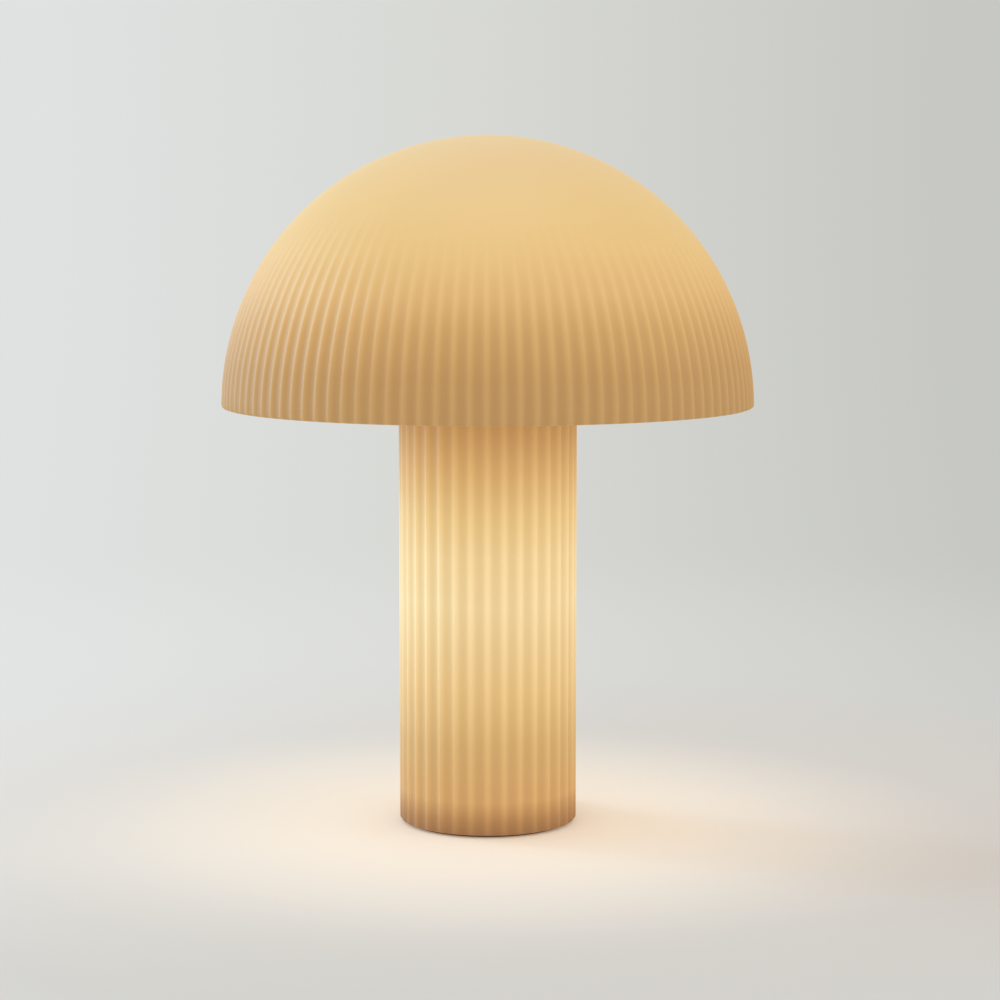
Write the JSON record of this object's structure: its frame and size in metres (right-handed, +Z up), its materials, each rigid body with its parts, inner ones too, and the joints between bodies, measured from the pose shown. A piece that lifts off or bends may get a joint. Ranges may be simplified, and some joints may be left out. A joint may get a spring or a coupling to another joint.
{
  "type": "table lamp",
  "caption": "Mushroom table lamp: a ribbed opal dome shade lifts off a ribbed glowing column that holds a screw-base bulb over a weighted base, with a rear dimmer knob.",
  "frame": {"origin": "on the table, under the column's axis", "axes": "+Z up through the column and the crown, -Y the front, +Y the rear with the cord entry, +X to the right seen from the front"},
  "size_m": [0.3, 0.3, 0.39],
  "materials": {
    "opal_shade": "satin translucent cream polymer, lit from inside",
    "opal_column": "satin translucent cream polymer, lit from inside",
    "spider_resin": "satin ivory moulded resin",
    "pad_silicone": "matt translucent silicone",
    "screw_steel": "bright zinc plated",
    "foot_rubber": "matt black rubber",
    "cover_steel": "fine textured cream powder coat",
    "weight_steel": "oiled mild steel",
    "stem_steel": "zinc plated",
    "nut_brass": "plain turned brass",
    "grommet_rubber": "matt cream elastomer",
    "block_nylon": "natural nylon",
    "contact_brass": "bright brass",
    "lead_blue": "blue insulation",
    "lead_brown": "brown insulation",
    "dimmer_black": "matt black thermoset",
    "board_green": "green solder mask",
    "parts_dark": "dark component resin",
    "bushing_nickel": "nickel plated",
    "shaft_nylon": "white nylon",
    "knob_cream": "satin cream plastic",
    "holder_ivory": "gloss ivory phenolic",
    "core_ceramic": "glazed steatite",
    "bulb_tip": "soldered tin tip",
    "bulb_glass": "dark vitrite",
    "bulb_nickel": "nickel plated brass",
    "bulb_white": "white heat-conducting plastic",
    "bulb_opal": "frosted opal polymer, lit",
    "board_aluminium": "white-masked aluminium board",
    "chip_phosphor": "yellow phosphor, lit"
  },
  "bodies": {
    "base_body": {"column": "opal_column", "spider": "spider_resin", "arm_pads": "pad_silicone", "spider_screws": "screw_steel", "foot_ring": "foot_rubber", "base_cover": "cover_steel", "cover_screws": "screw_steel", "base_weight": "weight_steel", "stem_tube": "stem_steel", "stem_nuts": "nut_brass", "stem_washers": "stem_steel", "cord_grommet": "grommet_rubber", "terminal_block": "block_nylon", "terminal_inserts": "contact_brass", "block_screws": "screw_steel", "neutral_lead": "lead_blue", "dimmer_lead": "lead_brown", "live_lead": "lead_brown", "dimmer_case": "dimmer_black", "dimmer_back": "dimmer_black", "dimmer_board": "board_green", "dimmer_parts": "parts_dark", "dimmer_pins": "contact_brass", "dimmer_bushing": "bushing_nickel", "dimmer_nut": "bushing_nickel", "holder_cap": "holder_ivory", "holder_shell": "holder_ivory", "holder_core": "core_ceramic", "holder_terminals": "contact_brass", "holder_terminal_screws": "screw_steel", "holder_grub_screw": "screw_steel", "screw_sleeve": "contact_brass", "centre_contact": "contact_brass"},
    "shade_body": {"shade": "opal_shade"},
    "bulb": {"bulb_contact": "bulb_tip", "bulb_insulator": "bulb_glass", "bulb_cap": "bulb_nickel", "bulb_body": "bulb_white", "bulb_globe": "bulb_opal", "led_board": "board_aluminium", "led_chips": "chip_phosphor", "bulb_driver": "parts_dark"},
    "dimmer_knob": {"knob": "knob_cream", "dimmer_shaft": "shaft_nylon", "dimmer_wiper": "contact_brass"}
  },
  "joints": [
    {"name": "shade_lift", "type": "slide", "parent": "base_body", "child": "shade_body", "axis": [0, 0, 1], "range_m": [0, 0.15]},
    {"name": "bulb_removal", "type": "slide", "parent": "base_body", "child": "bulb", "axis": [0, 0, 1], "range_m": [0, 0.19]},
    {"name": "dimmer_turn", "type": "hinge", "parent": "base_body", "child": "dimmer_knob", "pos_m": [0, 0, 0.01], "axis": [0.5, 0.866, 0], "range_deg": [0, 280]}
  ]
}
